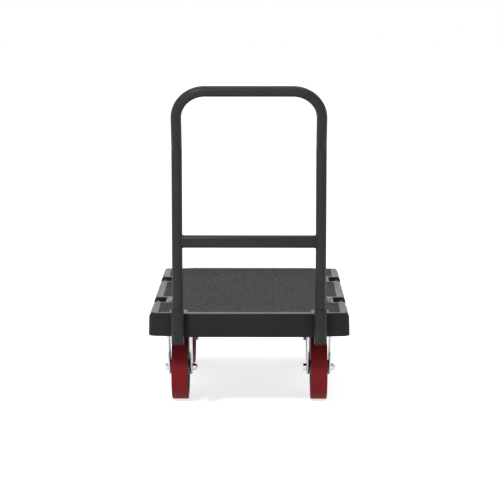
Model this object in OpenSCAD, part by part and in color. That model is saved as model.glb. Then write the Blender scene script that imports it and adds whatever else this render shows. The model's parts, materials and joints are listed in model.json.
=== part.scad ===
// Folding platform cart: a moulded deck on two swivel and two rigid casters, with a
// push handle that folds down over the deck.
// +X is the cart's right, +Y points from the handle end to the far end, +Z is up.
// The origin is on the floor, under the middle of the whole cart.

/* [Deck] */
// Width of the deck at the bottom of its skirt
deck_w = 610; // [500:1:760]
// Length of the deck
deck_l = 914; // [740:1:1220]
// Height of the deck moulding, skirt to top
deck_h = 72; // [58:1:90]
// Thickness of the skirt wall
deck_wall = 5; // [3:0.5:8]
// Thickness of the top panel
deck_top_t = 6; // [4:0.5:9]
// Thickness of the ribs under the top panel
rib_t = 4; // [3:0.5:6]
// How far the corner sections of each end step back from the middle section
end_step = 10; // [4:1:16]
// How much further each end sweeps back at the corners
end_sweep = 10; // [0:1:20]
// Radius of the deck's corners seen from above
corner_r = 24; // [8:1:30]
// Width of the chamfer along the top of each long side
chamfer_w = 7; // [3:1:9]
// Height of the same chamfer
chamfer_h = 13; // [6:1:20]

/* [Tie-down slots] */
// Length of each slot along the deck
slot_l = 90; // [60:1:110]
// Width of each slot
slot_w = 18; // [12:1:24]
// Thickness of the hand bar between a slot and the side
bar_w = 16; // [12:1:20]
// Depth of the hand bar, top to bottom
bar_h = 22; // [18:1:26]
// How far the bar lies below the deck's top
bar_drop = 7.5; // [4:0.5:10]
// Distance from the deck's side to the outer face of the bar
bar_inset = 9; // [6:1:14]
// Distance of each slot's centre from the middle of the deck
slot_spread = 204; // [150:1:215]

/* [Handle] */
// Outer diameter of the handle tube
tube_d = 31.75; // [26:0.05:38.1]
// Wall of the handle tube
tube_wall = 1.8; // [1.2:0.1:3]
// Distance of each upright's axis from the deck's side
handle_inset = 90.5; // [80:0.5:110]
// Height of the top bar's axis above the deck's top
handle_rise = 673; // [560:1:820]
// Height of the bend above the deck's top
bend_rise = 497; // [420:1:540]
// Angle at which the bow leans towards the user
lean = 21; // [0:1:30]
// Bend radius of the bow's corners, at the tube's axis
bow_r = 86; // [50:1:90]
// Height of the crossbar's axis above the deck's top
crossbar_rise = 222; // [120:1:380]
// Height of the flat-oval crossbar
crossbar_h = 38; // [26:1:46]
// Thickness of the crossbar
crossbar_t = 22; // [14:1:26]

/* [Sleeves and hinges] */
// Wall of the sleeves on the handle's feet
sleeve_wall = 3.1; // [2:0.1:5]
// How far a sleeve rises above the deck's top
sleeve_up = 16; // [8:1:30]
// How far a sleeve hangs below the skirt
sleeve_down = 18; // [4:1:30]
// Free space between a sleeve and the deck's end
sleeve_gap = 1; // [0.5:0.1:3]
// Depth of the hinge axis behind the deck's end
pivot_in = 12; // [10:0.5:16]
// Diameter of a hinge pin
pin_d = 10; // [8:0.5:12]
// Thickness of a hinge lug
lug_t = 12; // [10.6:0.1:15]
// Thickness of a bracket's ears and back plate
ear_t = 4; // [3:0.5:5]

/* [Locking plungers] */
// Diameter of a plunger's pin
lock_d = 6; // [5:0.5:7]
// Travel of the plunger from released to engaged
lock_travel = 8.5; // [7:0.1:9]

/* [Casters] */
// Diameter of the wheels
wheel_d = 200; // [160:1:240]
// Width of the wheels
wheel_w = 51; // [42:0.5:54]
// Thickness of the polyurethane tread
tread_t = 10; // [6:0.5:14]
// Space between the fork's legs
fork_gap = 62; // [58:0.5:72]
// Thickness of the fork's legs, crown and top plate
fork_t = 6.35; // [5:0.05:8]
// How far the wheel trails behind a swivel caster's kingpin
trail = 50; // [48:1:60]
// Distance of each caster from the deck's side
caster_inset = 89.5; // [84:0.5:110]
// Distance of each caster's plate centre from the deck's end
caster_in = 155; // [140:1:190]
// Length of a caster's top plate
plate_l = 114.3; // [112:0.1:125]
// Width of a caster's top plate
plate_w = 101.6; // [94:0.1:112]
// Spacing of the plate's bolts along the cart
bolt_l = 92.1; // [88:0.1:94]
// Spacing of the plate's bolts across the cart
bolt_w = 66.7; // [60:0.1:74]
// Diameter of the plate's bolts
bolt_d = 8; // [6:0.5:9]
// Diameter of the axle bolts
axle_d = 12.7; // [10:0.1:14]

/* [Hidden] */
$fn = 64;

// Fits and small fixed sizes
eps = 0.01;
run_gap = 0.15; // between a hinge lug and its ears, each side
spin_gap = 0.3; // between a turning part and the face beside it
slip = 0.1; // radial clearance of a pin in its hole
tube_fit = 0.1; // radial clearance of a tube in its sleeve
side_draft = 2; // how far each long side leans in below its chamfer

// Heights of a caster, from the floor
axle_z = wheel_d / 2;
crown_z = wheel_d + 18; // top of the swivel fork's crown
race_h = 17; // crown to top plate
race_skirt = 10; // top plate down to the race's rim
race_seat = 5; // top plate down to the top of the balls
plate_z = crown_z + race_h; // underside of the top plates
pad_z = plate_z + fork_t; // top of the plates, bottom of the deck's ribs
skirt_z = pad_z - 8;
top_z = skirt_z + deck_h;
panel_z = top_z - deck_top_t; // underside of the top panel

// Handle places
tube_r = tube_d / 2;
sleeve_r = tube_r + tube_fit + sleeve_wall;
foot_off = sleeve_r + sleeve_gap; // upright axis, in front of the deck's end
bow_rise = handle_rise - bend_rise;
bow_reach = foot_off + bow_rise * tan(lean) + tube_r;
near_y = (bow_reach - deck_l) / 2; // the deck's handle end
far_y = near_y + deck_l;
handle_x = deck_w / 2 - handle_inset;
handle_y = near_y - foot_off;
bend_z = top_z + bend_rise;
sleeve_z0 = skirt_z - sleeve_down;
sleeve_z1 = top_z + sleeve_up;
plug_h = 3; // head of the plug under a sleeve
plug_in = 12; // length of the plug inside

// Hinge places, seen from the side
pivot_y = near_y + pivot_in;
pivot_z = top_z;
pivot_boss_r = pivot_in + sleeve_gap - 1.2; // clears the sleeve as it swings over
lock_y = pivot_y + 8;
lock_z = pivot_z - 24;
lock_boss_r = lock_d / 2 + 6;
lug_reach = norm([lock_y - pivot_y, lock_z - pivot_z]) + lock_boss_r; // sweep of the lug's tip
ear_in = lug_t / 2 + run_gap; // inner face of an ear, from the lug's middle
ear_out = ear_in + ear_t;
pin_head_t = 3.5;
notch_w = 2 * (ear_out + pin_head_t + 1);
bracket_z0 = pivot_z - lug_reach - 7; // foot of the bracket
screw_head_h = 5;
screw_d = 6;
back_y = near_y + pivot_in + lug_reach + 2 + screw_head_h; // front face of the back plate
block_y0 = back_y + ear_t;
block_l = 20;
block_w = 40;
bracket_screw_zs = [bracket_z0 + 9, bracket_z0 + 29];

// Plunger lengths, measured inwards from the lug's middle
barrel_r = 7;
barrel_end = ear_out + 26;
barrel_bore_r = 5;
bore_start = ear_out + 3.5;
bore_end = barrel_end - 3;
tip_at = ear_in + 0.5;
collar_at = bore_start + lock_travel + 1;
collar_t = 2;
knob_at = barrel_end + lock_travel + spin_gap;
knob_l = 15;
knob_r = 9;

// Deck inside: the cavity keeps a full wall under the sloping side
cavity_side = side_draft + deck_wall + 3;
cavity_end = deck_wall;
cavity_x = deck_w / 2 - cavity_side;
mid_half = handle_x; // half width of the proud middle section at each end
step_run = 12; // width of the step beside it

// Tie-down slot places
bar_x1 = deck_w / 2 - bar_inset;
bar_x0 = bar_x1 - bar_w;
slot_x0 = bar_x0 - slot_w;
bar_top = top_z - bar_drop;
pocket_z = bar_top - bar_h - 12; // floor of the passage under the bar
pocket_wall = 4;
mid_y = (near_y + far_y) / 2;
slot_ys = [mid_y - slot_spread, mid_y + slot_spread];

// Caster places
caster_x = deck_w / 2 - caster_inset;
swivel_y = near_y + caster_in;
rigid_y = far_y - caster_in;
front_axle_y = swivel_y + trail;
leg_in = fork_gap / 2;
leg_out = leg_in + fork_t;
leg_top_r = 34; // half width of a fork's leg at its top
leg_foot_r = 23; // round foot of the leg, about the axle
ball_r = 4;
ball_ring_r = 30;
balls = 16;
kingpin_d = 14;
nut_af = 19.05;
hex_head_h = 8.5;
washer_t = 2;
hub_r = 22;
bearing_r = 15.08;
spacer_r = 9.525;
insert_r = 6;
insert_l = 26;

// Corner points of a polygon, each rounded to its own radius
function unit(v) = v / norm(v);
function turn(a, b) = (b - a + 540) % 360 - 180;
function fillet(a, p, b, r, n) =
    let (u = unit(a - p), v = unit(b - p), half = acos(u * v) / 2,
         c = p + unit(u + v) * r / sin(half),
         s = p + u * r / tan(half) - c, e = p + v * r / tan(half) - c,
         a0 = atan2(s[1], s[0]), da = turn(a0, atan2(e[1], e[0])))
    [for (i = [0 : n]) c + r * [cos(a0 + da * i / n), sin(a0 + da * i / n)]];
function rounded(pts, radii, n = 8) =
    [for (i = [0 : len(pts) - 1])
        let (a = pts[(i + len(pts) - 1) % len(pts)], b = pts[(i + 1) % len(pts)])
        each (radii[i] > 0 ? fillet(a, pts[i], b, radii[i], n) : [pts[i]])];

// ---- general shapes ----

// A box between two corners
module span(a, b) {
    translate(a) cube(b - a);
}

// A plate in the YZ plane, centred on x, from a 2D child drawn as (y, z)
module side_plate(x, t) {
    translate([x - t / 2, 0, 0])
        rotate([90, 0, 90])
            linear_extrude(t) children();
}

// A cylinder along X between x0 and x1
module rod_x(x0, x1, r, y = 0, z = 0) {
    translate([min(x0, x1), y, z])
        rotate([0, 90, 0]) cylinder(r = r, h = abs(x1 - x0));
}

// A hexagonal prism along X between x0 and x1
module hex_x(x0, x1, af, y = 0, z = 0) {
    translate([min(x0, x1), y, z])
        rotate([0, 90, 0]) cylinder(d = af / cos(30), h = abs(x1 - x0), $fn = 6);
}

// Two discs and the straight web between them, in 2D
module web(p, rp, q, rq) {
    d = norm(q - p);
    a = atan2(q[1] - p[1], q[0] - p[0]);
    b = acos((rp - rq) / d);
    translate(p) circle(rp);
    translate(q) circle(rq);
    polygon([
        p + rp * [cos(a + b), sin(a + b)], q + rq * [cos(a + b), sin(a + b)],
        q + rq * [cos(a - b), sin(a - b)], p + rp * [cos(a - b), sin(a - b)]
    ]);
}

// A tube along Z from z0 to z1
module pipe(r, wall, z0, z1) {
    translate([0, 0, z0])
        difference() {
            cylinder(r = r, h = z1 - z0);
            translate([0, 0, -1]) cylinder(r = r - wall, h = z1 - z0 + 2);
        }
}

module at_casters(y) {
    for (s = [-1, 1]) translate([s * caster_x, y, 0]) children();
}

module at_plate_bolts() {
    for (i = [-1, 1], j = [-1, 1]) translate([i * bolt_w / 2, j * bolt_l / 2, 0]) children();
}

// ---- deck ----

// One corner of the plan, from the middle of the end round to the long side
function plan_corner(side, end) = [
    [mid_half - step_run / 2, end],
    [mid_half + step_run / 2, end_step + end],
    [deck_w / 2 - side, end_step + end_sweep + end]
];

function plan(side, end) =
    let (c = plan_corner(side, end),
         right = concat(c, [for (i = [2 : -1 : 0]) [c[i][0], deck_l - c[i][1]]]))
    concat(right, [for (i = [5 : -1 : 0]) [-right[i][0], right[i][1]]]);

module deck_plan(side, end, r) {
    radii = [3, 3, r, r, 3, 3, 3, 3, r, r, 3, 3];
    translate([0, near_y]) polygon(rounded(plan(side, end), radii));
}

module deck_section() {
    x0 = deck_w / 2;
    x1 = x0 - side_draft;
    x2 = x1 - chamfer_w;
    polygon(rounded(
        [[x0, skirt_z], [x1, top_z - chamfer_h], [x2, top_z],
         [-x2, top_z], [-x1, top_z - chamfer_h], [-x0, skirt_z]],
        [1.5, 6, 3, 3, 6, 1.5]));
}

module deck_shell() {
    difference() {
        intersection() {
            translate([0, 0, skirt_z]) linear_extrude(deck_h) deck_plan(0, 0, corner_r);
            translate([0, far_y + 1, 0])
                rotate([90, 0, 0]) linear_extrude(deck_l + 2) deck_section();
        }
        translate([0, 0, skirt_z - 1])
            linear_extrude(panel_z - skirt_z + 1)
                deck_plan(cavity_side, cavity_end, corner_r - cavity_end);
    }
}

// Ribs that stand on the caster plates and stiffen the panel
module deck_ribs() {
    block_end = block_y0 - near_y + block_l;
    inner_l = deck_l - 2 * (block_end + rib_t);
    for (x = [-91, 0, 91])
        span([x - rib_t / 2, near_y + 3, pad_z], [x + rib_t / 2, far_y - 3, panel_z + 1]);
    for (s = [-1, 1], i = [-1, 1]) {
        x = s * caster_x + i * bolt_w / 2;
        span([x - rib_t / 2, mid_y - inner_l / 2, pad_z],
             [x + rib_t / 2, mid_y + inner_l / 2, panel_z + 1]);
    }
    from_end = [block_end + rib_t / 2, caster_in - bolt_l / 2, caster_in + bolt_l / 2];
    near_rows = [for (d = from_end) near_y + d];
    far_rows = [for (d = from_end) far_y - d];
    for (y = concat(near_rows, far_rows, [mid_y - 100, mid_y, mid_y + 100]))
        span([-cavity_x - 1, y - rib_t / 2, pad_z], [cavity_x + 1, y + rib_t / 2, panel_z + 1]);
}

module deck_bosses() {
    for (y = [swivel_y, rigid_y])
        at_casters(y) at_plate_bolts()
            translate([0, 0, pad_z]) cylinder(r = insert_r + 6, h = panel_z + 1 - pad_z);
    for (s = [-1, 1])
        span([s * handle_x - block_w / 2, block_y0, pad_z],
             [s * handle_x + block_w / 2, block_y0 + block_l + 1, panel_z + 1]);
}

// Walls and floor round one tie-down slot on the right
module slot_pocket(y) {
    half = slot_l / 2 + pocket_wall;
    span([slot_x0 - pocket_wall, y - half, pocket_z - pocket_wall],
         [cavity_x + 1, y + half, panel_z + 1]);
}

module slot_cut(y) {
    half = slot_l / 2;
    span([slot_x0, y - half, pocket_z], [deck_w / 2 + 1, y + half, top_z + 1]);
    span([slot_x0, y - half, skirt_z - 1], [bar_x0, y + half, pocket_z + 1]);
}

module slot_bar(y) {
    r = bar_w / 2;
    half = slot_l / 2 + 2;
    translate([bar_x0 + r, y + half, 0])
        rotate([90, 0, 0])
            linear_extrude(2 * half) {
                translate([0, bar_top - r]) circle(r);
                translate([0, bar_top - bar_h + r]) circle(r);
                translate([-r, bar_top - bar_h + r]) square([bar_w, bar_h - bar_w]);
            }
}

module at_slots() {
    for (y = slot_ys) {
        translate([0, y, 0]) children();
        mirror([1, 0, 0]) translate([0, y, 0]) children();
    }
}

// Room for one hinge, cut through the deck's end and top
module hinge_notch() {
    span([-notch_w / 2, near_y - 1, bracket_z0 - 1], [notch_w / 2, block_y0, top_z + 1]);
}

module deck() {
    color([0.16, 0.16, 0.16]) {
        difference() {
            union() {
                deck_shell();
                deck_ribs();
                deck_bosses();
                at_slots() slot_pocket(0);
            }
            at_slots() slot_cut(0);
            for (s = [-1, 1]) translate([s * handle_x, 0, 0]) {
                hinge_notch();
                for (z = bracket_screw_zs)
                    translate([0, block_y0 - 1, z])
                        rotate([-90, 0, 0]) cylinder(r = screw_d / 2 + 0.2, h = block_l + rib_t + 3);
            }
            for (y = [swivel_y, rigid_y])
                at_casters(y) at_plate_bolts()
                    translate([0, 0, pad_z - 1]) cylinder(r = insert_r, h = insert_l + 6);
        }
        at_slots() slot_bar(0);
    }
}

// ---- handle ----

// Everything above the mitre plane of the bend (side = 1) or below it (side = -1)
module mitre_half(side) {
    big = 2 * handle_rise;
    translate([0, handle_y, bend_z])
        rotate([lean / 2, 0, 0])
            translate([-big, -big, side > 0 ? 0 : -2 * big]) cube(2 * big);
}

module handle_upright(s) {
    color([0.2, 0.2, 0.2])
        intersection() {
            translate([s * handle_x, handle_y, 0])
                pipe(tube_r, tube_wall, sleeve_z0 + plug_in, bend_z + tube_r);
            mitre_half(-1);
        }
}

// The bow is drawn upright on its bend line and then leant over
module bow_solid(r) {
    leg = bow_rise / cos(lean);
    for (s = [-1, 1]) {
        translate([s * handle_x, 0, -tube_d]) cylinder(r = r, h = leg - bow_r + tube_d);
        translate([s * (handle_x - bow_r), 0, leg - bow_r])
            rotate([90, 0, 0])
                rotate_extrude(angle = s * 90, start = s > 0 ? 0 : 180)
                    translate([bow_r, 0]) circle(r);
    }
    rod_x(bow_r - handle_x, handle_x - bow_r, r, 0, leg);
}

module handle_bow() {
    color([0.18, 0.18, 0.17])
        intersection() {
            translate([0, handle_y, bend_z])
                rotate([lean, 0, 0])
                    difference() {
                        bow_solid(tube_r);
                        bow_solid(tube_r - tube_wall);
                    }
            mitre_half(1);
        }
}

module oval(h, t) {
    for (s = [-1, 1]) translate([0, s * (h - t) / 2]) circle(t / 2);
    square([t, h - t], center = true);
}

module handle_crossbar() {
    color([0.2, 0.2, 0.2])
        difference() {
            translate([0, handle_y, top_z + crossbar_rise])
                side_plate(0, 2 * handle_x)
                    difference() {
                        oval(crossbar_h, crossbar_t);
                        oval(crossbar_h - 2 * tube_wall, crossbar_t - 2 * tube_wall);
                    }
            for (s = [-1, 1])
                translate([s * handle_x, handle_y, top_z])
                    cylinder(r = tube_r, h = crossbar_rise + crossbar_h);
        }
}

module handle_sleeve(s) {
    color([0.21, 0.21, 0.21])
        translate([s * handle_x, handle_y, 0])
            pipe(sleeve_r, sleeve_wall, sleeve_z0 + plug_h, sleeve_z1);
}

module sleeve_plug(s) {
    color([0.12, 0.12, 0.12])
        translate([s * handle_x, handle_y, sleeve_z0]) {
            cylinder(r = sleeve_r, h = plug_h);
            cylinder(r = tube_r, h = plug_in);
        }
}

module lug_outline() {
    top = pivot_z + pivot_boss_r;
    foot = lock_z - lock_boss_r;
    polygon(rounded(
        [[handle_y, foot], [lock_y + lock_boss_r, foot], [pivot_y + pivot_boss_r, top],
         [handle_y, top]],
        [0, lock_boss_r - 1, pivot_boss_r - 1, 0]));
}

module hinge_lug(s) {
    color([0.2, 0.2, 0.2])
        difference() {
            side_plate(s * handle_x, lug_t) lug_outline();
            translate([s * handle_x, handle_y, sleeve_z0])
                cylinder(r = sleeve_r, h = sleeve_z1 - sleeve_z0 + 1);
            rod_x(s * handle_x - lug_t, s * handle_x + lug_t, pin_d / 2 + slip, pivot_y, pivot_z);
            rod_x(s * handle_x - lug_t, s * handle_x + lug_t, lock_d / 2 + 3 * slip, lock_y, lock_z);
        }
}

// ---- hinge brackets and pins ----

module bracket_ear() {
    front = near_y + 0.5;
    top = pivot_z + pivot_boss_r;
    rear = top_z - 4;
    polygon(rounded(
        [[front, top], [front, bracket_z0], [block_y0, bracket_z0], [block_y0, rear],
         [pivot_y + pivot_boss_r + 8, rear], [pivot_y + pivot_boss_r, top]],
        [pivot_boss_r - 1, 7, 0, 3, 6, 6]));
}

module hinge_bracket(s) {
    color([0.2, 0.2, 0.2])
        translate([s * handle_x, 0, 0])
            difference() {
                union() {
                    for (i = [-1, 1]) side_plate(i * (ear_in + ear_t / 2), ear_t) bracket_ear();
                    span([-ear_out, back_y, bracket_z0], [ear_out, block_y0, top_z - 4]);
                }
                rod_x(-2 * ear_out, 2 * ear_out, pin_d / 2 + slip, pivot_y, pivot_z);
                rod_x(0, -s * 2 * ear_out, barrel_r - 2, lock_y, lock_z);
                for (z = bracket_screw_zs)
                    translate([0, back_y - 1, z])
                        rotate([-90, 0, 0]) cylinder(r = screw_d / 2 + 0.2, h = ear_t + 2);
            }
}

module hinge_pin(s) {
    color([0.75, 0.75, 0.75])
        translate([s * handle_x, 0, 0])
            difference() {
                union() {
                    rod_x(-ear_out - 3, ear_out, pin_d / 2, pivot_y, pivot_z);
                    rod_x(ear_out, ear_out + pin_head_t, pin_d / 2 + 2.5, pivot_y, pivot_z);
                }
                difference() {
                    rod_x(-ear_out - 1.6, -ear_out - 0.4, pin_d, pivot_y, pivot_z);
                    rod_x(-ear_out - 3, ear_out, pin_d / 2 - 1, pivot_y, pivot_z);
                }
            }
}

module hinge_pin_clips() {
    color([0.7, 0.7, 0.7])
        for (s = [-1, 1])
            translate([s * handle_x, 0, 0])
                difference() {
                    rod_x(-ear_out - 1.5, -ear_out - 0.5, pin_d / 2 + 2.5, pivot_y, pivot_z);
                    rod_x(-ear_out - 2, -ear_out, pin_d / 2 - 1, pivot_y, pivot_z);
                    span([-ear_out - 2, pivot_y - 3, pivot_z - pin_d], [-ear_out, pivot_y + 3, pivot_z]);
                }
}

module bracket_bolts() {
    color([0.7, 0.7, 0.7])
        for (s = [-1, 1], z = bracket_screw_zs)
            translate([s * handle_x, back_y, z])
                rotate([-90, 0, 0]) {
                    cylinder(r = screw_d / 2, h = ear_t + block_l + rib_t + 9);
                    difference() {
                        translate([0, 0, -screw_head_h]) cylinder(r = 5, h = screw_head_h);
                        translate([0, 0, -screw_head_h - 1])
                            cylinder(d = 5 / cos(30), h = 4, $fn = 6);
                    }
                }
}

module bracket_nuts() {
    color([0.7, 0.7, 0.7])
        for (s = [-1, 1], z = bracket_screw_zs)
            translate([s * handle_x, block_y0 + block_l + rib_t, z])
                rotate([-90, 0, 0])
                    difference() {
                        cylinder(d = 10 / cos(30), h = 6, $fn = 6);
                        translate([0, 0, -1]) cylinder(r = screw_d / 2, h = 8);
                    }
}

// ---- locking plungers: lengths run inwards from each lug's middle ----

module inward(s) {
    translate([s * handle_x, lock_y, lock_z]) mirror([s > 0 ? 1 : 0, 0, 0]) children();
}

module lock_body(s) {
    color([0.72, 0.72, 0.72])
        inward(s)
            difference() {
                union() {
                    rod_x(ear_in, ear_out + 1, barrel_r - 2);
                    rod_x(ear_out, barrel_end, barrel_r);
                }
                rod_x(0, barrel_end + 1, lock_d / 2 + slip);
                rod_x(bore_start, bore_end, barrel_bore_r);
            }
}

module lock_pin(s) {
    color([0.75, 0.75, 0.75])
        inward(s) {
            rod_x(tip_at, knob_at + 8, lock_d / 2);
            rod_x(collar_at, collar_at + collar_t, barrel_bore_r - 0.2);
        }
}

module lock_knob(s) {
    color([0.08, 0.08, 0.08])
        inward(s)
            difference() {
                rotate([0, 90, 0])
                    rotate_extrude()
                        polygon(rounded(
                            [[0, knob_at], [knob_r - 3, knob_at], [knob_r, knob_at + 5],
                             [knob_r, knob_at + knob_l], [0, knob_at + knob_l]],
                            [0, 1.5, 2, 3, 0], 5));
                rod_x(knob_at - 1, knob_at + 8, lock_d / 2);
            }
}

// Helical spring, swept as rings of points along its wire
module lock_spring(s) {
    wire = 0.5;
    coil_r = (lock_d / 2 + barrel_bore_r) / 2;
    turns = 4;
    steps = turns * 16;
    sides = 8;
    x0 = collar_at + collar_t + wire + 0.1;
    rise = bore_end - x0 - wire - 0.1;
    ring = function (i) [for (k = [0 : sides - 1])
        let (a = 360 * turns * i / steps, b = 360 * k / sides, r = coil_r + wire * cos(b))
        [x0 + rise * i / steps + wire * sin(b), r * cos(a), r * sin(a)]];
    color([0.65, 0.65, 0.65])
        inward(s)
            polyhedron(
                points = [for (i = [0 : steps]) each ring(i)],
                faces = concat(
                    [[for (k = [0 : sides - 1]) k]],
                    [for (i = [0 : steps - 1], k = [0 : sides - 1])
                        let (a = i * sides + k, b = i * sides + (k + 1) % sides)
                        [a, a + sides, b + sides, b]],
                    [[for (k = [sides - 1 : -1 : 0]) steps * sides + k]]));
}

// ---- casters ----

module plate_blank() {
    w = plate_w / 2;
    l = plate_l / 2;
    difference() {
        translate([0, 0, plate_z])
            linear_extrude(fork_t)
                polygon(rounded([[-w, -l], [w, -l], [w, l], [-w, l]], [10, 10, 10, 10]));
        at_plate_bolts()
            translate([0, 0, plate_z - 1]) cylinder(r = bolt_d / 2 + 0.5, h = fork_t + 2);
    }
}

module swivel_plate(s) {
    color([0.82, 0.82, 0.82])
        translate([s * caster_x, swivel_y, 0])
            difference() {
                union() {
                    plate_blank();
                    rotate_extrude()
                        polygon([
                            [kingpin_d / 2 + slip, plate_z], [ball_ring_r + 10, plate_z],
                            [ball_ring_r + 10, plate_z - race_skirt], [ball_ring_r + 7, plate_z - race_skirt],
                            [ball_ring_r + 5, plate_z - race_seat], [kingpin_d / 2 + slip, plate_z - race_seat]
                        ]);
                }
                translate([0, 0, crown_z]) cylinder(r = kingpin_d / 2 + slip, h = race_h + fork_t + 1);
            }
}

ball_z = plate_z - race_seat - ball_r;

module swivel_balls() {
    color([0.8, 0.8, 0.8])
        at_casters(swivel_y)
            for (i = [0 : balls - 1])
                rotate([0, 0, 360 * i / balls]) translate([ball_ring_r, 0, ball_z]) sphere(ball_r, $fn = 24);
}

module kingpins() {
    color([0.75, 0.75, 0.75])
        at_casters(swivel_y) {
            translate([0, 0, crown_z - fork_t - 13])
                cylinder(r = kingpin_d / 2, h = pad_z - crown_z + fork_t + 13);
            translate([0, 0, pad_z]) cylinder(d = 22 / cos(30), h = 9, $fn = 6);
        }
}

module kingpin_nuts() {
    color([0.75, 0.75, 0.75])
        at_casters(swivel_y)
            translate([0, 0, crown_z - fork_t - 11])
                difference() {
                    cylinder(d = 22 / cos(30), h = 11 - spin_gap, $fn = 6);
                    translate([0, 0, -1]) cylinder(r = kingpin_d / 2, h = 13);
                }
}

// One leg of a fork in the YZ plane; y is the kingpin line, dy the wheel's offset
module leg_outline(dy, top, shoulder) {
    r = leg_top_r;
    web([0, shoulder - r], r, [dy, axle_z], leg_foot_r);
    translate([-r, shoulder - r]) square([2 * r, top - shoulder + r]);
}

module fork_legs(dy, top, shoulder) {
    difference() {
        for (i = [-1, 1]) side_plate(i * (leg_in + fork_t / 2), fork_t) leg_outline(dy, top, shoulder);
        rod_x(-leg_out - 1, leg_out + 1, axle_d / 2 + slip, dy, axle_z);
    }
}

module swivel_fork(s) {
    w = leg_out;
    r = ball_ring_r + 14;
    color([0.85, 0.85, 0.85])
        translate([s * caster_x, swivel_y, 0]) {
            fork_legs(trail, crown_z - fork_t, crown_z - fork_t);
            difference() {
                union() {
                    translate([0, 0, crown_z - fork_t])
                        linear_extrude(fork_t)
                            intersection() {
                                union() {
                                    circle(r);
                                    square([2 * w, 2 * leg_top_r], center = true);
                                }
                                square([2 * w, 2 * r], center = true);
                            }
                    translate([0, 0, crown_z])
                        cylinder(r = ball_ring_r + 6, h = ball_z - ball_r - spin_gap - crown_z);
                }
                translate([0, 0, crown_z - fork_t - 1]) cylinder(r = kingpin_d / 2 + spin_gap, h = race_h);
            }
        }
}

module rigid_fork(s) {
    color([0.85, 0.85, 0.85])
        translate([s * caster_x, rigid_y, 0]) {
            plate_blank();
            fork_legs(0, plate_z + eps, plate_z - 12);
        }
}

module caster_bolts() {
    color([0.75, 0.75, 0.75])
        for (y = [swivel_y, rigid_y])
            at_casters(y) at_plate_bolts() {
                translate([0, 0, plate_z - 6]) cylinder(d = 13 / cos(30), h = 4.8, $fn = 6);
                translate([0, 0, plate_z - 1.2]) cylinder(r = 8.5, h = 1.2);
                translate([0, 0, plate_z - 2]) cylinder(r = bolt_d / 2, h = insert_l + fork_t);
            }
}

module caster_inserts() {
    color([0.75, 0.62, 0.3])
        for (y = [swivel_y, rigid_y])
            at_casters(y) at_plate_bolts() translate([0, 0, pad_z])
                difference() {
                    cylinder(r = insert_r, h = insert_l);
                    translate([0, 0, -1]) cylinder(r = bolt_d / 2, h = insert_l + 2);
                }
}

// ---- axles ----

module axle_bolt() {
    head = leg_out + washer_t;
    hex_x(-head - hex_head_h, -head, nut_af, 0, axle_z);
    rod_x(-head, -leg_out, nut_af / 2 + 3, 0, axle_z);
    rod_x(-head - 1, leg_out + 15, axle_d / 2, 0, axle_z);
}

module axle_nut() {
    difference() {
        union() {
            rod_x(leg_out, leg_out + washer_t, nut_af / 2 + 3, 0, axle_z);
            hex_x(leg_out + washer_t, leg_out + 9.5, nut_af, 0, axle_z);
            rod_x(leg_out + 9.5, leg_out + 12.5, nut_af / 2 - 1.2, 0, axle_z);
        }
        rod_x(leg_out - 1, leg_out + 14, axle_d / 2, 0, axle_z);
    }
}

module axle_spacer() {
    difference() {
        rod_x(-leg_in, leg_in, spacer_r, 0, axle_z);
        rod_x(-leg_in - 1, leg_in + 1, axle_d / 2 + slip, 0, axle_z);
    }
}

module front_axle(s) {
    color([0.85, 0.85, 0.85]) translate([s * caster_x, front_axle_y, 0]) children();
}

module rear_axles() {
    color([0.85, 0.85, 0.85]) at_casters(rigid_y) children();
}

// ---- wheels ----

rim_r = wheel_d / 2 - tread_t;
rim_t = 11;
web_half = 8;
hub_half = leg_in - spin_gap;
spokes = 6;

module at_wheel(s, y) {
    translate([s * caster_x, y, axle_z]) rotate([0, 90, 0]) children();
}

module wheel_core(s, y) {
    rim_half = wheel_w / 2 - 1;
    color([0.4, 0.42, 0.41])
        at_wheel(s, y)
            difference() {
                union() {
                    rotate_extrude()
                        polygon(rounded(
                            [[bearing_r, -hub_half], [hub_r, -hub_half], [hub_r + 3, -web_half],
                             [rim_r - rim_t, -web_half], [rim_r - rim_t + 3, -rim_half],
                             [rim_r, -rim_half], [rim_r, rim_half], [rim_r - rim_t + 3, rim_half],
                             [rim_r - rim_t, web_half], [hub_r + 3, web_half], [hub_r, hub_half],
                             [bearing_r, hub_half]],
                            [0, 1.5, 4, 4, 1.5, 0, 0, 1.5, 4, 4, 1.5, 0], 4));
                    for (i = [0 : spokes - 1])
                        rotate([0, 0, 360 * i / spokes])
                            span([hub_r, -3, -rim_half + 6], [rim_r - rim_t + 2, 3, rim_half - 6]);
                }
                translate([0, 0, -leg_in]) cylinder(r = bearing_r, h = fork_gap);
            }
}

module tread(s, y) {
    half = wheel_w / 2;
    color([0.5, 0.11, 0.12])
        at_wheel(s, y)
            rotate_extrude($fn = 96)
                polygon(rounded(
                    [[rim_r, -half], [wheel_d / 2, -half], [wheel_d / 2, half], [rim_r, half]],
                    [0, 3, 3, 0], 5));
}

// Straight rollers standing in the hub round the spacer, with a cage ring at each end
module roller_bearing(s, y) {
    gap = 0.05;
    roller_r = (bearing_r - spacer_r) / 2 - gap;
    roller_half = hub_half - 5;
    color([0.7, 0.7, 0.7])
        at_wheel(s, y) {
            for (i = [0 : 11])
                rotate([0, 0, 30 * i])
                    translate([(bearing_r + spacer_r) / 2, 0, -roller_half])
                        cylinder(r = roller_r, h = 2 * roller_half);
            for (i = [-1, 1])
                translate([0, 0, i * (roller_half + 2) - 1.5])
                    difference() {
                        cylinder(r = bearing_r, h = 3);
                        translate([0, 0, -1]) cylinder(r = spacer_r + slip, h = 5);
                    }
        }
}

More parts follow.
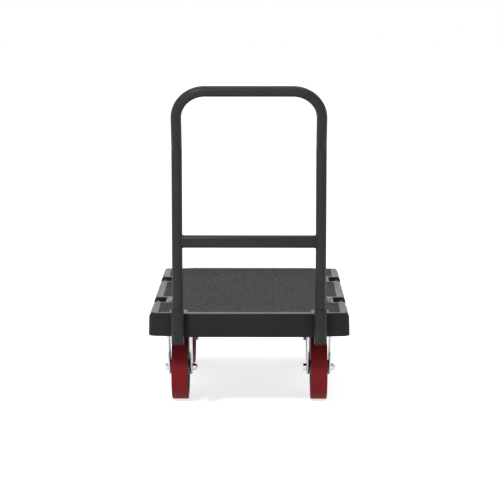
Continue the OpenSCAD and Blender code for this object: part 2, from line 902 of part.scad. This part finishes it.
deck();
handle_upright(-1);  // handle_upright_left
handle_upright(1);  // handle_upright_right
handle_bow();
handle_crossbar();
handle_sleeve(-1);  // handle_sleeve_left
handle_sleeve(1);  // handle_sleeve_right
sleeve_plug(-1);  // sleeve_plug_left
sleeve_plug(1);  // sleeve_plug_right
hinge_lug(-1);  // hinge_lug_left
hinge_lug(1);  // hinge_lug_right
hinge_bracket(-1);  // hinge_bracket_left
hinge_bracket(1);  // hinge_bracket_right
hinge_pin(-1);  // hinge_pin_left
hinge_pin(1);  // hinge_pin_right
hinge_pin_clips();
bracket_bolts();
bracket_nuts();
lock_body(-1);  // lock_body_left
lock_body(1);  // lock_body_right
lock_spring(-1);  // lock_spring_left
lock_spring(1);  // lock_spring_right
lock_pin(-1);  // lock_pin_left
lock_pin(1);  // lock_pin_right
lock_knob(-1);  // lock_knob_left
lock_knob(1);  // lock_knob_right
swivel_plate(-1);  // swivel_plate_left
swivel_plate(1);  // swivel_plate_right
swivel_balls();
kingpins();
kingpin_nuts();
swivel_fork(-1);  // swivel_fork_left
swivel_fork(1);  // swivel_fork_right
rigid_fork(-1);  // rigid_fork_left
rigid_fork(1);  // rigid_fork_right
caster_bolts();
caster_inserts();
front_axle(-1) axle_bolt();  // axle_bolt_front_left
front_axle(1) axle_bolt();  // axle_bolt_front_right
front_axle(-1) axle_nut();  // axle_nut_front_left
front_axle(1) axle_nut();  // axle_nut_front_right
front_axle(-1) axle_spacer();  // axle_spacer_front_left
front_axle(1) axle_spacer();  // axle_spacer_front_right
rear_axles() axle_bolt();  // axle_bolts_rear
rear_axles() axle_nut();  // axle_nuts_rear
rear_axles() axle_spacer();  // axle_spacers_rear
wheel_core(-1, front_axle_y);  // wheel_core_front_left
wheel_core(1, front_axle_y);  // wheel_core_front_right
wheel_core(-1, rigid_y);  // wheel_core_rear_left
wheel_core(1, rigid_y);  // wheel_core_rear_right
tread(-1, front_axle_y);  // tread_front_left
tread(1, front_axle_y);  // tread_front_right
tread(-1, rigid_y);  // tread_rear_left
tread(1, rigid_y);  // tread_rear_right
roller_bearing(-1, front_axle_y);  // roller_bearing_front_left
roller_bearing(1, front_axle_y);  // roller_bearing_front_right
roller_bearing(-1, rigid_y);  // roller_bearing_rear_left
roller_bearing(1, rigid_y);  // roller_bearing_rear_right
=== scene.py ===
import json
import math

import bmesh
import bpy
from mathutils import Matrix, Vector


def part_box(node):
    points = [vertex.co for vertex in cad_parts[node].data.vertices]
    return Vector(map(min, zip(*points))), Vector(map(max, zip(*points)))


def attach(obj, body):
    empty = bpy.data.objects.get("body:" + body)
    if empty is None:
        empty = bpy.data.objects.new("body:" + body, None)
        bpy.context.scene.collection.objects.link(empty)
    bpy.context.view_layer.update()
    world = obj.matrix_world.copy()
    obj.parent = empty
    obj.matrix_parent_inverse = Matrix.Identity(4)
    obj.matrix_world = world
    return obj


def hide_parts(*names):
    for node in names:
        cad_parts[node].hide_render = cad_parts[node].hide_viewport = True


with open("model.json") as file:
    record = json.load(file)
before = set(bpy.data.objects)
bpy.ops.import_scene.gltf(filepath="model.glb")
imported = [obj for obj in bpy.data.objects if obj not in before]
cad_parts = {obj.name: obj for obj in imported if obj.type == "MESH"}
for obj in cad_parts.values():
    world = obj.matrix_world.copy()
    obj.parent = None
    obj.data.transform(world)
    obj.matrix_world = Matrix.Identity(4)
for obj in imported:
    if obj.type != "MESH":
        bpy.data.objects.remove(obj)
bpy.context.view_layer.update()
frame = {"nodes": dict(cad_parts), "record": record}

MM = 0.001
NODES = frame["nodes"]
BODY_OF = {}
for body_name, node_names in frame["record"]["behaviour"]["bodies"].items():
    for node_name in node_names:
        BODY_OF[node_name] = body_name
SLOT_OF = {row["node"]: row["material_slot"] for row in frame["record"]["subparts"]}


# ---------------------------------------------------------------- measures from the frame

def centre(node):
    lo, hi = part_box(node)
    return (Vector(lo) + Vector(hi)) / 2


def low(node):
    return Vector(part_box(node)[0])


def high(node):
    return Vector(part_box(node)[1])


DECK_LO, DECK_HI = low("deck"), high("deck")
TUBE_R = (high("handle_upright_left").x - low("handle_upright_left").x) / 2


# ---------------------------------------------------------------- sizes of what Blender adds

MID_Y = (DECK_LO.y + DECK_HI.y) / 2
DECK_ROUND = 1.8 * MM           # rounding of the deck's outer edges
SIDE_BAND, END_BAND = 14 * MM, 24 * MM  # how far in from its sides and ends the deck's edges are rounded
SLOT_SPREAD = 204 * MM          # middle of the deck to the middle of a slot
SLOT_HALF = 57 * MM             # half the length of the smooth pad round a slot
PANEL_X = 276 * MM              # middle of the deck to the smooth side rim
PAD_X = 244 * MM                # middle of the deck to a slot's smooth pad
NEAR_RIM = 25 * MM
FAR_RIM = 30 * MM
PANEL_DROP = 1.0 * MM           # depth of the textured panel
PANEL_SLOPE = 1.6 * MM          # width of the slope down to it
STUD_PITCH = 6 * MM
STUD_RISE = 0.9 * MM
STUD_CLEAR = 4.8 * MM           # stud's middle to the edge of the panel
STUD_FILL = 0.42                # half a stud's width, as a share of the pitch
STUD_SINK = 0.05 * MM
HINGE = centre("handle_upright_right")
HINGE_PAD = 26 * MM             # half the width of the smooth pad round a hinge
HINGE_END = high("hinge_bracket_right").y + 9 * MM
CROSSBAR_BEAD, LUG_BEAD, FORK_BEAD = 1.5 * MM, 1.1 * MM, 1.6 * MM
FORK_BEAD_HALF = 32 * MM        # half the length of a fork's bead
PLATE_T = 6.35 * MM             # caster plate
NUT_GAP = 0.35 * MM             # kingpin nut's top to the underside of the fork's crown

# Edge rounding in millimetres, by the first words of a node's name
ROUNDING = {
    "handle_upright": 0.7, "handle_bow": 0.7, "handle_crossbar": 0.5, "handle_sleeve": 0.9,
    "sleeve_plug": 1.0, "hinge_lug": 0.8, "hinge_bracket": 0.7, "hinge_pin_clips": 0.2, "hinge_pin": 0.5,
    "bracket": 0.4, "lock_body": 0.5, "lock_pin": 0.4, "lock_knob": 0.8, "kingpin": 0.5,
    "caster_bolts": 0.4, "axle_bolt": 0.6, "axle_nut": 0.6, "axle_spacer": 0.4, "swivel_plate": 0.7,
    "rigid_fork": 0.9, "swivel_fork": 0.9, "wheel_core": 0.8, "tread": 1.6, "roller_bearing": 0.3,
}
LEFT_AS_CAD = ("deck", "swivel_balls", "caster_inserts", "lock_spring")
SHARP_EDGE = 30                 # degrees above which an edge is rounded
CRISP_EDGE = 35                 # degrees above which shading stays crisp


# ---------------------------------------------------------------- material helpers

def add(tree, kind, inputs=None, **settings):
    """A shader node with its settings and its inputs, which are values or other nodes' sockets."""
    made = tree.nodes.new(kind)
    for key, value in settings.items():
        setattr(made, key, value)
    for key, value in (inputs or {}).items():
        if isinstance(value, bpy.types.NodeSocket):
            tree.links.new(value, made.inputs[key])
        else:
            made.inputs[key].default_value = value
    return made


def rgb(value, tint=(1, 1, 1)):
    return (value * tint[0], value * tint[1], value * tint[2], 1)


def new_material(name, **sockets):
    material = bpy.data.materials.new(name)
    material.use_nodes = True
    tree = material.node_tree
    shader = tree.nodes["Principled BSDF"]
    for key, value in sockets.items():
        shader.inputs[key.replace("_", " ")].default_value = value
    place = add(tree, "ShaderNodeTexCoord").outputs["Object"]
    return material, tree, shader, place


def noise(tree, place, scale, detail=3.0, roughness=0.55):
    return add(tree, "ShaderNodeTexNoise", {"Vector": place, "Scale": scale, "Detail": detail,
                                            "Roughness": roughness}).outputs["Fac"]


def spread(tree, value, low_in, high_in, low_out, high_out):
    return add(tree, "ShaderNodeMapRange", {"Value": value, "From Min": low_in, "From Max": high_in,
                                            "To Min": low_out, "To Max": high_out}).outputs["Result"]


def colour_between(tree, factor, dark, light):
    mix = add(tree, "ShaderNodeMix", {"Factor": factor}, data_type="RGBA")
    mix.inputs["A"].default_value = dark
    mix.inputs["B"].default_value = light
    return mix.outputs["Result"]


def bump(tree, height, distance, strength=1.0, below=None):
    inputs = {"Height": height, "Distance": distance, "Strength": strength}
    if below is not None:
        inputs["Normal"] = below
    return add(tree, "ShaderNodeBump", inputs).outputs["Normal"]


def link(tree, socket, shader, name):
    tree.links.new(socket, shader.inputs[name])


# ---------------------------------------------------------------- materials

def powder_coat(name, dark, light, rough, gloss):
    """Satin powder coat: a fine orange peel, and slow changes of gloss."""
    material, tree, shader, place = new_material(name, Specular_IOR_Level=gloss)
    patches = noise(tree, place, 14, 4)
    link(tree, colour_between(tree, spread(tree, patches, 0.3, 0.7, 0, 1), dark, light), shader, "Base Color")
    link(tree, spread(tree, patches, 0.3, 0.7, rough - 0.05, rough + 0.05), shader, "Roughness")
    peel = noise(tree, place, 700, 2)
    link(tree, bump(tree, peel, 0.06 * MM, 0.6), shader, "Normal")
    return material


def moulded(name, dark, light, rough, gloss, grain=0.08, scale=900):
    """Moulded plastic with a spark-eroded grain."""
    material, tree, shader, place = new_material(name, Specular_IOR_Level=gloss)
    cells = add(tree, "ShaderNodeTexVoronoi", {"Vector": place, "Scale": scale}).outputs["Distance"]
    patches = noise(tree, place, 9, 4)
    link(tree, colour_between(tree, spread(tree, patches, 0.3, 0.7, 0, 1), dark, light), shader, "Base Color")
    link(tree, spread(tree, noise(tree, place, 60, 3), 0.3, 0.7, rough - 0.06, rough + 0.06), shader, "Roughness")
    link(tree, bump(tree, cells, grain * MM, 0.7), shader, "Normal")
    return material


def zinc(name, value, rough):
    """Bright zinc plate: faint clouding and fine drawing lines."""
    material, tree, shader, place = new_material(name, Metallic=1.0)
    clouds = noise(tree, place, 35, 5, 0.6)
    dark = rgb(value * 0.86, (0.97, 0.99, 1.0))
    light = rgb(value, (1.0, 1.0, 0.985))
    link(tree, colour_between(tree, spread(tree, clouds, 0.35, 0.65, 0, 1), dark, light), shader, "Base Color")
    link(tree, spread(tree, clouds, 0.3, 0.7, rough - 0.06, rough + 0.08), shader, "Roughness")
    squeezed = add(tree, "ShaderNodeMapping", {"Vector": place, "Scale": (1.0, 1.0, 0.08)}).outputs["Vector"]
    link(tree, bump(tree, noise(tree, squeezed, 2200, 2), 0.01 * MM, 0.5), shader, "Normal")
    return material


def polyurethane(name):
    """Cast polyurethane tread: a soft sheen and fine scuffs."""
    material, tree, shader, place = new_material(name, Specular_IOR_Level=0.065)
    patches = noise(tree, place, 22, 4)
    link(tree, colour_between(tree, spread(tree, patches, 0.3, 0.7, 0, 1),
                              (0.110, 0.0065, 0.0085, 1), (0.132, 0.0080, 0.0105, 1)), shader, "Base Color")
    link(tree, spread(tree, noise(tree, place, 90, 4), 0.3, 0.7, 0.46, 0.62), shader, "Roughness")
    link(tree, bump(tree, noise(tree, place, 420, 3), 0.05 * MM, 0.6), shader, "Normal")
    return material


MATERIALS = {
    "deck_plastic": moulded("deck_plastic", rgb(0.0055), rgb(0.0075), 0.56, 0.165, 0.10, 900),
    # Smooth rims: the lower roughness and higher gloss are real, and the lighter base colour is painted sheen
    "deck_smooth_painted_sheen": moulded("deck_smooth_painted_sheen", rgb(0.010), rgb(0.013), 0.31, 0.34, 0.02, 1400),
    "black_tube": powder_coat("black_tube", rgb(0.0145), rgb(0.0175), 0.40, 0.13),
    "black_steel": powder_coat("black_steel", rgb(0.012), rgb(0.015), 0.42, 0.14),
    "black_plastic": moulded("black_plastic", rgb(0.006), rgb(0.008), 0.42, 0.20, 0.05, 1200),
    "zinc_steel": zinc("zinc_steel", 0.68, 0.28),
    "zinc_hardware": zinc("zinc_hardware", 0.60, 0.22),
    "spring_steel": zinc("spring_steel", 0.52, 0.22),
    "brass_insert": zinc("brass_insert", 0.6, 0.3),
    "grey_core": moulded("grey_core", (0.075, 0.100, 0.094, 1), (0.092, 0.120, 0.112, 1), 0.48, 0.25, 0.06, 700),
    "red_tread": polyurethane("red_tread"),
}


def paint(obj, *slots):
    if obj.data.materials:
        obj.data.materials.clear()
    for slot in slots:
        obj.data.materials.append(MATERIALS[slot])


# ---------------------------------------------------------------- mesh helpers

def new_object(name, mesh):
    obj = bpy.data.objects.new(name, mesh)
    bpy.context.scene.collection.objects.link(obj)
    return obj


def smooth_by_angle(mesh, degrees):
    """Smooth shading, with edges sharper than the angle kept crisp."""
    bm = bmesh.new()
    bm.from_mesh(mesh)
    limit = math.radians(degrees)
    for face in bm.faces:
        face.smooth = True
    for edge in bm.edges:
        edge.smooth = len(edge.link_faces) == 2 and edge.calc_face_angle(0) < limit
    bm.to_mesh(mesh)
    bm.free()


def ordered_mesh(name, bm):
    """A mesh whose vertices and faces are in order of place, because a cut leaves them in any order."""
    verts = sorted(bm.verts, key=lambda v: tuple(v.co))
    rank = {vert: i for i, vert in enumerate(verts)}
    rows = [([rank[v] for v in face.verts], face.material_index) for face in bm.faces]
    rows.sort(key=lambda row: sorted(row[0]))
    mesh = bpy.data.meshes.new(name)
    mesh.from_pydata([v.co for v in verts], [], [corners for corners, _ in rows])
    for polygon, (_, material) in zip(mesh.polygons, rows):
        polygon.material_index = material
    return mesh


def cad_bmesh(node):
    """The CAD node's mesh as welded polygons."""
    source = NODES[node]
    bm = bmesh.new()
    bm.from_mesh(source.data)
    bm.transform(source.matrix_world)
    bmesh.ops.remove_doubles(bm, verts=bm.verts, dist=0.002 * MM)
    bmesh.ops.dissolve_limit(bm, angle_limit=math.radians(0.5), verts=bm.verts, edges=bm.edges)
    return bm


def place_piece(obj, node):
    """Rides on the node's body and stands for the node."""
    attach(obj, BODY_OF[node])
    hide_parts(node)


def round_edges(bm, edges, width, segments):
    bmesh.ops.bevel(bm, geom=edges, offset=width, offset_type="OFFSET", segments=segments,
                    profile=0.5, affect="EDGES", clamp_overlap=False)


def is_sharp(edge):
    return len(edge.link_faces) == 2 and edge.calc_face_angle(0) > math.radians(SHARP_EDGE)


def rounded_copy(node, width):
    """The CAD node again with its sharp edges rounded off."""
    bm = cad_bmesh(node)
    round_edges(bm, [e for e in bm.edges if is_sharp(e)], width * MM, 2)
    mesh = bpy.data.meshes.new(node + "_fine")
    bm.to_mesh(mesh)
    bm.free()
    smooth_by_angle(mesh, CRISP_EDGE)
    obj = new_object(node + "_fine", mesh)
    paint(obj, SLOT_OF[node])
    place_piece(obj, node)


# ---------------------------------------------------------------- the pieces

def close_to(value, wanted, slack=0.4 * MM):
    return abs(value - wanted) < slack


def deck_edge(edge):
    """The deck's outer edges: round the top, and the convex ones near its sides and ends."""
    a, b = (v.co for v in edge.verts)
    if close_to(a.z, DECK_HI.z) and close_to(b.z, DECK_HI.z):
        return True
    if max(a.z, b.z) < DECK_LO.z + 1 * MM:
        return False
    mid = (a + b) / 2
    side = abs(mid.x) > DECK_HI.x - SIDE_BAND
    end = abs(mid.y - MID_Y) > (DECK_HI.y - DECK_LO.y) / 2 - END_BAND
    return (side or end) and edge.is_convex


def in_slot_band(y):
    return any(abs(y - (MID_Y + side * SLOT_SPREAD)) < SLOT_HALF for side in (-1, 1))


def textured(x, y):
    """True where the deck's top has the anti-slip texture and not the smooth rim or pads."""
    if abs(x) > PANEL_X or not DECK_LO.y + NEAR_RIM < y < DECK_HI.y - FAR_RIM:
        return False
    by_hinge = abs(abs(x) - HINGE.x) < HINGE_PAD and y < HINGE_END
    return not (by_hinge or abs(x) > PAD_X and in_slot_band(y))


def fine_deck():
    """The deck with rounded outer edges, smooth rims and pads, and a slightly lowered panel. The rims and pads
    take a glossier copy of the deck plastic whose lighter base colour paints in part of their sheen.
    """
    bm = cad_bmesh("deck")
    round_edges(bm, [e for e in bm.edges if is_sharp(e) and deck_edge(e)], DECK_ROUND, 3)
    bm.normal_update()
    cuts = [((s * x, 0, 0), (1, 0, 0)) for s in (-1, 1) for x in (PANEL_X, PAD_X)]
    cuts += [((0, DECK_LO.y + NEAR_RIM, 0), (0, 1, 0)), ((0, DECK_HI.y - FAR_RIM, 0), (0, 1, 0))]
    cuts += [((0, MID_Y + s * SLOT_SPREAD + e * SLOT_HALF, 0), (0, 1, 0)) for s in (-1, 1) for e in (-1, 1)]
    cuts += [((s * (HINGE.x + e * HINGE_PAD), 0, 0), (1, 0, 0)) for s in (-1, 1) for e in (-1, 1)]
    cuts += [((0, HINGE_END, 0), (0, 1, 0))]
    for place, normal in cuts:
        top = [f for f in bm.faces if f.normal.z > 0.99 and close_to(f.calc_center_median().z, DECK_HI.z)]
        around = {v for f in top for v in f.verts} | {e for f in top for e in f.edges} | set(top)
        bmesh.ops.bisect_plane(bm, geom=list(around), dist=1e-6, plane_co=place, plane_no=normal)
    bm.normal_update()
    panel = []
    for face in bm.faces:
        mid = face.calc_center_bounds()
        # Upward faces of the smooth rims and pads, edge rounding included, take the lighter copy, whose base
        # colour is painted sheen
        on_top = mid.z > DECK_HI.z - 16 * MM and face.normal.z > 0.25
        face.material_index = 1 if on_top and not textured(mid.x, mid.y) else 0
        if close_to(mid.z, DECK_HI.z) and face.normal.z > 0.99 and textured(mid.x, mid.y):
            panel.append(face)
    bmesh.ops.inset_region(bm, faces=panel, use_boundary=True, use_even_offset=True,
                           thickness=PANEL_SLOPE, depth=-PANEL_DROP)
    mesh = ordered_mesh("deck_fine", bm)
    bm.free()
    smooth_by_angle(mesh, CRISP_EDGE)
    obj = new_object("deck_fine", mesh)
    paint(obj, "deck_plastic", "deck_smooth_painted_sheen")
    place_piece(obj, "deck")


def deck_studs():
    """The anti-slip texture: low four-sided studs in rows."""
    verts, faces = [], []
    across = int(PANEL_X / STUD_PITCH)
    along = int((DECK_HI.y - DECK_LO.y) / 2 / STUD_PITCH)
    half = STUD_PITCH * STUD_FILL
    base, tip = DECK_HI.z - PANEL_DROP - STUD_SINK, DECK_HI.z - PANEL_DROP + STUD_RISE
    for i in range(-across, across + 1):
        for j in range(-along, along + 1):
            x, y = i * STUD_PITCH, MID_Y + j * STUD_PITCH
            if not all(textured(x + a * STUD_CLEAR, y + b * STUD_CLEAR) for a in (-1, 1) for b in (-1, 1)):
                continue
            n = len(verts)
            verts += [(x - half, y - half, base), (x + half, y - half, base),
                      (x + half, y + half, base), (x - half, y + half, base), (x, y, tip)]
            faces += [(n + 3, n + 2, n + 1, n), (n, n + 1, n + 4), (n + 1, n + 2, n + 4),
                      (n + 2, n + 3, n + 4), (n + 3, n, n + 4)]
    mesh = bpy.data.meshes.new("deck_studs")
    mesh.from_pydata(verts, [], faces)
    obj = new_object("deck_studs", mesh)
    paint(obj, "deck_plastic")
    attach(obj, "chassis")


def bead(name, path, radius, body, slot, closed=False, ripples=0):
    """A weld bead: a round section swept along a path, with an even ripple."""
    sides = 10
    count = len(path)
    verts, faces = [], []
    turn_axis = None
    for i, point in enumerate(path):
        after = path[(i + 1) % count] if closed else path[min(i + 1, count - 1)]
        before = path[i - 1] if closed else path[max(i - 1, 0)]
        along = (after - before).normalized()
        if turn_axis is None:
            turn_axis = along.orthogonal().normalized()
        turn_axis = (turn_axis - along * turn_axis.dot(along)).normalized()
        other = along.cross(turn_axis)
        size = radius * (1 + 0.12 * math.sin(2 * math.pi * ripples * i / count))
        for k in range(sides):
            a = 2 * math.pi * k / sides
            verts.append(point + size * (math.cos(a) * turn_axis + math.sin(a) * other))
    for i in range(count if closed else count - 1):
        j = (i + 1) % count
        for k in range(sides):
            m = (k + 1) % sides
            faces.append((i * sides + k, i * sides + m, j * sides + m, j * sides + k))
    if not closed:
        faces.append(tuple(reversed(range(sides))))
        faces.append(tuple((count - 1) * sides + k for k in range(sides)))
    mesh = bpy.data.meshes.new(name)
    mesh.from_pydata(verts, [], faces)
    smooth_by_angle(mesh, 50)
    obj = new_object(name, mesh)
    paint(obj, slot)
    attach(obj, body)


def line(a, b, count=60):
    return [Vector(a).lerp(Vector(b), i / (count - 1)) for i in range(count)]


def crossbar_welds():
    """Beads where the flat-oval crossbar runs into the round uprights."""
    bar = centre("handle_crossbar")
    size = high("handle_crossbar") - low("handle_crossbar")
    end_r = size.y / 2
    straight = size.z / 2 - end_r
    for side, node in ((-1, "left"), (1, "right")):
        tube = centre("handle_upright_" + node)
        path = []
        for i in range(96):
            a = 2 * math.pi * i / 96
            y = end_r * math.cos(a)
            z = end_r * math.sin(a) + straight * max(-1, min(1, 4 * math.sin(a)))
            x = tube.x - side * math.sqrt(TUBE_R ** 2 - y ** 2)
            path.append(Vector((x, bar.y + y, bar.z + z)))
        bead("crossbar_weld_" + node, path, CROSSBAR_BEAD, "handle", "black_tube", closed=True, ripples=24)


def lug_welds():
    """Beads down both sides of each hinge lug where it meets the sleeve."""
    for node in ("left", "right"):
        lo, hi = low("hinge_lug_" + node), high("hinge_lug_" + node)
        for tag, x in (("a", lo.x), ("b", hi.x)):
            start, end = (x, lo.y + 0.1 * MM, lo.z + 2 * MM), (x, lo.y + 0.1 * MM, hi.z - 2 * MM)
            bead("lug_weld_%s_%s" % (node, tag), line(start, end), LUG_BEAD, "handle", "black_steel", ripples=14)


def leg_half(node):
    """Half the width over a fork's legs, which the swivel fork's box gives for both kinds."""
    swivel = "swivel_fork_" + node.split("_")[-1]
    return (high(swivel).x - low(swivel).x) / 2


def fork_welds():
    """Beads along the outside of each fork where its legs meet the crown or plate."""
    crown = high("kingpin_nuts").z + NUT_GAP
    plate = low("caster_inserts").z - PLATE_T
    for node in ("left", "right"):
        for kind, body, z, y in (
                ("swivel_fork_", "swivel_" + node, crown, centre("kingpins").y),
                ("rigid_fork_", "chassis", plate, centre("axle_bolts_rear").y)):
            half, mid = leg_half(kind + node), centre(kind + node).x
            for tag, side in (("a", -1), ("b", 1)):
                x = mid + side * half
                path = line((x, y - FORK_BEAD_HALF, z), (x, y + FORK_BEAD_HALF, z))
                bead(kind + "weld_%s_%s" % (node, tag), path, FORK_BEAD, body, "zinc_steel", ripples=20)


fine_deck()
deck_studs()
crossbar_welds()
lug_welds()
fork_welds()
for node in NODES:
    if node.startswith(LEFT_AS_CAD):
        paint(NODES[node], SLOT_OF[node])
        continue
    width = next(ROUNDING[key] for key in ROUNDING if node.startswith(key))
    rounded_copy(node, width)


# ---------------------------------------------------------------- floor, light and camera

FLOOR_HALF = 30
FLOOR_GLOW = 0.72               # the floor's own light, which keeps the shadow under the deck faint
CAMERA_LENS = 134.67            # millimetres on a 36 mm wide sensor
CAMERA_BACK, CAMERA_UP, CAMERA_ASIDE = 5.5432, 1.2983, 0.0430
CAMERA_DOWN, CAMERA_TURN = 8.205, -0.4165  # degrees


def soft_light(name, place, aim, size, power):
    data = bpy.data.lights.new(name, "AREA")
    data.shape = "RECTANGLE"
    data.size, data.size_y = size
    data.energy = power
    lamp = bpy.data.objects.new(name, data)
    bpy.context.scene.collection.objects.link(lamp)
    lamp.location = place
    lamp.rotation_mode = "QUATERNION"
    lamp.rotation_quaternion = (Vector(aim) - Vector(place)).to_track_quat("-Z", "Y")


def studio():
    bm = bmesh.new()
    bmesh.ops.create_grid(bm, x_segments=8, y_segments=8, size=FLOOR_HALF)
    mesh = bpy.data.meshes.new("studio_floor")
    bm.to_mesh(mesh)
    bm.free()
    floor = new_object("studio_floor", mesh)
    material, tree, shader, place = new_material("studio_floor", Roughness=0.9, Specular_IOR_Level=0.1,
                                                 Emission_Color=(1, 1, 1, 1), Emission_Strength=FLOOR_GLOW)
    link(tree, colour_between(tree, noise(tree, place, 3), rgb(0.44), rgb(0.46)), shader, "Base Color")
    mesh.materials.append(material)

    world = bpy.data.worlds.new("studio")
    bpy.context.scene.world = world
    world.use_nodes = True
    world.node_tree.nodes["Background"].inputs["Color"].default_value = (1, 1, 1, 1)
    world.node_tree.nodes["Background"].inputs["Strength"].default_value = 1.0
    bpy.context.scene.view_settings.view_transform = "Standard"

    soft_light("key", (-1.8, -3.6, 3.9), (0, -0.3, 0.25), (0.6, 0.6), 195)
    soft_light("top", (0.1, 0.6, 3.0), (0, 0.1, 0.2), (2.2, 2.2), 28)


def photo_camera():
    """Five and a half metres in front of the handle end, 1.3 m up, aimed a little down."""
    data = bpy.data.cameras.new("photo_camera")
    camera = bpy.data.objects.new("photo_camera", data)
    bpy.context.scene.collection.objects.link(camera)
    data.sensor_width = 36
    data.lens = CAMERA_LENS
    camera.location = (CAMERA_ASIDE, DECK_LO.y - CAMERA_BACK, CAMERA_UP)
    pitch, yaw = math.radians(CAMERA_DOWN), math.radians(CAMERA_TURN)
    aim = Vector((math.sin(yaw) * math.cos(pitch), math.cos(yaw) * math.cos(pitch), -math.sin(pitch)))
    camera.rotation_mode = "QUATERNION"
    camera.rotation_quaternion = aim.to_track_quat("-Z", "Y")
    bpy.context.scene.camera = camera


studio()
photo_camera()
